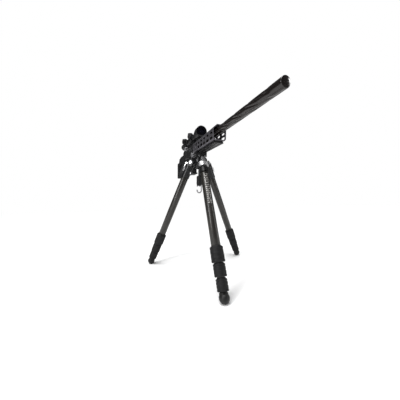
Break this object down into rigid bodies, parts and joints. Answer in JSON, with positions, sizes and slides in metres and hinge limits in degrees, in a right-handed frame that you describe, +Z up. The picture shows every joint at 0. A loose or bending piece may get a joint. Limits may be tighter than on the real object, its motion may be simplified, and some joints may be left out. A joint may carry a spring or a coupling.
{
  "type": "tripod with clamped display dummy",
  "caption": "Folding tripod with telescoping carbon legs, levelling head and rail clamp, holding a solid inert long-bar display dummy with a scope.",
  "frame": {"origin": "on the floor under the middle of the object, which is the tripod's axis, with the three ball feet on Z = 0", "axes": "+Z up, -Y the near leg and the front end of the mounted item, +X the right leg"},
  "size_m": [0.5551, 1.0849, 0.7724],
  "materials": {
    "carbon_tube": "clear-coated carbon-fibre weave, dark brown-grey, lengthwise highlights",
    "lock_grip": "matt ribbed rubber grip",
    "black_casting": "black anodised, fine blasted, bright worn edges",
    "bright_steel": "machined stainless",
    "satin_tab": "satin anodised aluminium",
    "foot_rubber": "matt moulded rubber",
    "liner_plastic": "self-lubricating plastic",
    "grey_anodised": "grey anodised, satin",
    "black_rail": "black anodised",
    "gloss_bar": "dark brown-black polished, spiral flutes",
    "body_black": "black ceramic-type coating, satin",
    "polymer": "moulded black polymer, fine grain",
    "pad_rubber": "soft rubber",
    "sight_black": "hard black anodised, matt",
    "lens_glass": "coated lens, dark blue-violet reflection",
    "level_glass": "spirit level vial, green-yellow fluid"
  },
  "bodies": {
    "apex": {"apex": "black_casting"},
    "leg_near": {"yoke_near": "black_casting", "leg_bolts_near": "bright_steel", "upper_tube_near": "carbon_tube"},
    "tab_near": {"stop_tab_near": "satin_tab"},
    "upper_lock_near": {"upper_lock_near": "lock_grip"},
    "second_near": {"second_tube_near": "carbon_tube"},
    "middle_lock_near": {"middle_lock_near": "lock_grip"},
    "third_near": {"third_tube_near": "carbon_tube"},
    "lower_lock_near": {"lower_lock_near": "lock_grip"},
    "tip_near": {"lower_tube_near": "carbon_tube", "foot_near": "foot_rubber"},
    "leg_left": {"yoke_left": "black_casting", "leg_bolts_left": "bright_steel", "upper_tube_left": "carbon_tube"},
    "tab_left": {"stop_tab_left": "satin_tab"},
    "upper_lock_left": {"upper_lock_left": "lock_grip"},
    "second_left": {"second_tube_left": "carbon_tube"},
    "middle_lock_left": {"middle_lock_left": "lock_grip"},
    "third_left": {"third_tube_left": "carbon_tube"},
    "lower_lock_left": {"lower_lock_left": "lock_grip"},
    "tip_left": {"lower_tube_left": "carbon_tube", "foot_left": "foot_rubber"},
    "leg_right": {"yoke_right": "black_casting", "leg_bolts_right": "bright_steel", "upper_tube_right": "carbon_tube"},
    "tab_right": {"stop_tab_right": "satin_tab"},
    "upper_lock_right": {"upper_lock_right": "lock_grip"},
    "second_right": {"second_tube_right": "carbon_tube"},
    "middle_lock_right": {"middle_lock_right": "lock_grip"},
    "third_right": {"third_tube_right": "carbon_tube"},
    "lower_lock_right": {"lower_lock_right": "lock_grip"},
    "tip_right": {"lower_tube_right": "carbon_tube", "foot_right": "foot_rubber"},
    "liner": {"bowl_liner": "liner_plastic"},
    "ball": {"levelling_ball": "black_casting"},
    "handle": {"levelling_handle": "lock_grip"},
    "hook": {"weight_hook": "bright_steel"},
    "clamp": {"clamp_base": "black_rail", "clamp_bolts": "bright_steel", "bubble_level": "level_glass"},
    "jaw": {"clamp_jaw": "black_rail"},
    "clamp_knob": {"clamp_knob": "bright_steel"},
    "dummy": {"dovetail_rail": "black_rail", "forend_shell": "grey_anodised", "solid_bar": "gloss_bar", "body_block": "body_black", "lower_block": "polymer", "side_knob": "bright_steel", "top_rail": "black_rail", "grip": "polymer", "stock": "polymer", "butt_pad": "pad_rubber", "sight_mount": "sight_black", "sight_body": "sight_black", "sight_lenses": "lens_glass"},
    "elevation": {"elevation_turret": "sight_black"},
    "windage": {"windage_turret": "sight_black"},
    "focus": {"focus_turret": "sight_black"},
    "zoom": {"zoom_ring": "sight_black"}
  },
  "joints": [
    {"name": "fold_near", "type": "hinge", "parent": "apex", "child": "leg_near", "pos_m": [0, -0.043, 0.5423], "axis": [-1, 0, 0], "range_deg": [-25.4, 0]},
    {"name": "stop_tab_near", "type": "slide", "parent": "leg_near", "child": "tab_near", "axis": [0, -0.9033, 0.4289], "range_m": [0, 0.006], "stiffness_N_per_m": 300, "springref_m": -0.006},
    {"name": "twist_upper_near", "type": "hinge", "parent": "leg_near", "child": "upper_lock_near", "pos_m": [0, -0.04932, 0.5453], "axis": [0, -0.4289, -0.9033], "range_deg": [0, 120]},
    {"name": "twist_middle_near", "type": "hinge", "parent": "second_near", "child": "middle_lock_near", "pos_m": [0, -0.04932, 0.5453], "axis": [0, -0.4289, -0.9033], "range_deg": [0, 120]},
    {"name": "twist_lower_near", "type": "hinge", "parent": "third_near", "child": "lower_lock_near", "pos_m": [0, -0.04932, 0.5453], "axis": [0, -0.4289, -0.9033], "range_deg": [0, 120]},
    {"name": "extend_second_near", "type": "slide", "parent": "leg_near", "child": "second_near", "axis": [0, -0.4289, -0.9033], "range_m": [0, 0.315]},
    {"name": "extend_third_near", "type": "slide", "parent": "second_near", "child": "third_near", "axis": [0, -0.4289, -0.9033], "range_m": [0, 0.345]},
    {"name": "extend_lower_near", "type": "slide", "parent": "third_near", "child": "tip_near", "axis": [0, -0.4289, -0.9033], "range_m": [0, 0.38]},
    {"name": "fold_left", "type": "hinge", "parent": "apex", "child": "leg_left", "pos_m": [-0.03724, 0.0215, 0.5423], "axis": [-0.5, -0.866, 0], "range_deg": [0, 25.4]},
    {"name": "stop_tab_left", "type": "slide", "parent": "leg_left", "child": "tab_left", "axis": [-0.7823, 0.4517, 0.4289], "range_m": [0, 0.006], "stiffness_N_per_m": 300, "springref_m": -0.006},
    {"name": "twist_upper_left", "type": "hinge", "parent": "leg_left", "child": "upper_lock_left", "pos_m": [-0.04272, 0.02466, 0.5453], "axis": [-0.3715, 0.2145, -0.9033], "range_deg": [0, 120]},
    {"name": "twist_middle_left", "type": "hinge", "parent": "second_left", "child": "middle_lock_left", "pos_m": [-0.04272, 0.02466, 0.5453], "axis": [-0.3715, 0.2145, -0.9033], "range_deg": [0, 120]},
    {"name": "twist_lower_left", "type": "hinge", "parent": "third_left", "child": "lower_lock_left", "pos_m": [-0.04272, 0.02466, 0.5453], "axis": [-0.3715, 0.2145, -0.9033], "range_deg": [0, 120]},
    {"name": "extend_second_left", "type": "slide", "parent": "leg_left", "child": "second_left", "axis": [-0.3715, 0.2145, -0.9033], "range_m": [0, 0.315]},
    {"name": "extend_third_left", "type": "slide", "parent": "second_left", "child": "third_left", "axis": [-0.3715, 0.2145, -0.9033], "range_m": [0, 0.345]},
    {"name": "extend_lower_left", "type": "slide", "parent": "third_left", "child": "tip_left", "axis": [-0.3715, 0.2145, -0.9033], "range_m": [0, 0.38]},
    {"name": "fold_right", "type": "hinge", "parent": "apex", "child": "leg_right", "pos_m": [0.03724, 0.0215, 0.5423], "axis": [0.5, -0.866, 0], "range_deg": [-25.4, 0]},
    {"name": "stop_tab_right", "type": "slide", "parent": "leg_right", "child": "tab_right", "axis": [0.7823, 0.4517, 0.4289], "range_m": [0, 0.006], "stiffness_N_per_m": 300, "springref_m": -0.006},
    {"name": "twist_upper_right", "type": "hinge", "parent": "leg_right", "child": "upper_lock_right", "pos_m": [0.04272, 0.02466, 0.5453], "axis": [0.3715, 0.2145, -0.9033], "range_deg": [0, 120]},
    {"name": "twist_middle_right", "type": "hinge", "parent": "second_right", "child": "middle_lock_right", "pos_m": [0.04272, 0.02466, 0.5453], "axis": [0.3715, 0.2145, -0.9033], "range_deg": [0, 120]},
    {"name": "twist_lower_right", "type": "hinge", "parent": "third_right", "child": "lower_lock_right", "pos_m": [0.04272, 0.02466, 0.5453], "axis": [0.3715, 0.2145, -0.9033], "range_deg": [0, 120]},
    {"name": "extend_second_right", "type": "slide", "parent": "leg_right", "child": "second_right", "axis": [0.3715, 0.2145, -0.9033], "range_m": [0, 0.315]},
    {"name": "extend_third_right", "type": "slide", "parent": "second_right", "child": "third_right", "axis": [0.3715, 0.2145, -0.9033], "range_m": [0, 0.345]},
    {"name": "extend_lower_right", "type": "slide", "parent": "third_right", "child": "tip_right", "axis": [0.3715, 0.2145, -0.9033], "range_m": [0, 0.38]},
    {"name": "tilt_fore_aft", "type": "hinge", "parent": "apex", "child": "liner", "pos_m": [0, 0, 0.55], "axis": [-0.9955, -0.0946, 0], "range_deg": [-4.15, 19.85]},
    {"name": "tilt_sideways", "type": "hinge", "parent": "liner", "child": "ball", "pos_m": [0, 0, 0.55], "axis": [0.0937, -0.9862, -0.1366], "range_deg": [-12, 10]},
    {"name": "pan", "type": "hinge", "parent": "ball", "child": "clamp", "pos_m": [0, 0, 0.55], "axis": [-0.0129, 0.136, -0.9906], "range_deg": [-20, 20]},
    {"name": "handle_twist", "type": "hinge", "parent": "ball", "child": "handle", "pos_m": [0, 0, 0.55], "axis": [0.0129, -0.136, 0.9906], "range_deg": [0, 180]},
    {"name": "hook_swivel", "type": "hinge", "parent": "handle", "child": "hook", "pos_m": [0, 0, 0.55], "axis": [0.0129, -0.136, 0.9906], "continuous": true},
    {"name": "clamp_jaw", "type": "slide", "parent": "clamp", "child": "jaw", "axis": [-0.9955, -0.0946, 0], "range_m": [0, 0.003]},
    {"name": "clamp_screw", "type": "hinge", "parent": "jaw", "child": "clamp_knob", "pos_m": [0.00035, -0.00367, 0.57675], "axis": [-0.9955, -0.0946, 0], "range_deg": [0, 720]},
    {"name": "rail_slide", "type": "slide", "parent": "clamp", "child": "dummy", "axis": [0.0937, -0.9862, -0.1366], "range_m": [-0.02, 0.01]},
    {"name": "elevation_dial", "type": "hinge", "parent": "dummy", "child": "elevation", "pos_m": [-0.01704, 0.17927, 0.71869], "axis": [0.0129, -0.136, 0.9906], "range_deg": [-360, 360]},
    {"name": "windage_dial", "type": "hinge", "parent": "dummy", "child": "windage", "pos_m": [-0.01704, 0.17927, 0.71869], "axis": [-0.9955, -0.0946, 0], "range_deg": [-180, 180]},
    {"name": "focus_dial", "type": "hinge", "parent": "dummy", "child": "focus", "pos_m": [-0.01704, 0.17927, 0.71869], "axis": [0.9955, 0.0946, 0], "range_deg": [-140, 140]},
    {"name": "zoom_turn", "type": "hinge", "parent": "dummy", "child": "zoom", "pos_m": [0.00077, -0.0081, 0.69274], "axis": [0.0937, -0.9862, -0.1366], "range_deg": [0, 180]}
  ],
  "couplings": [
    {"joint": "clamp_screw", "follows": "clamp_jaw", "rad_per_m": 4188.8}
  ]
}
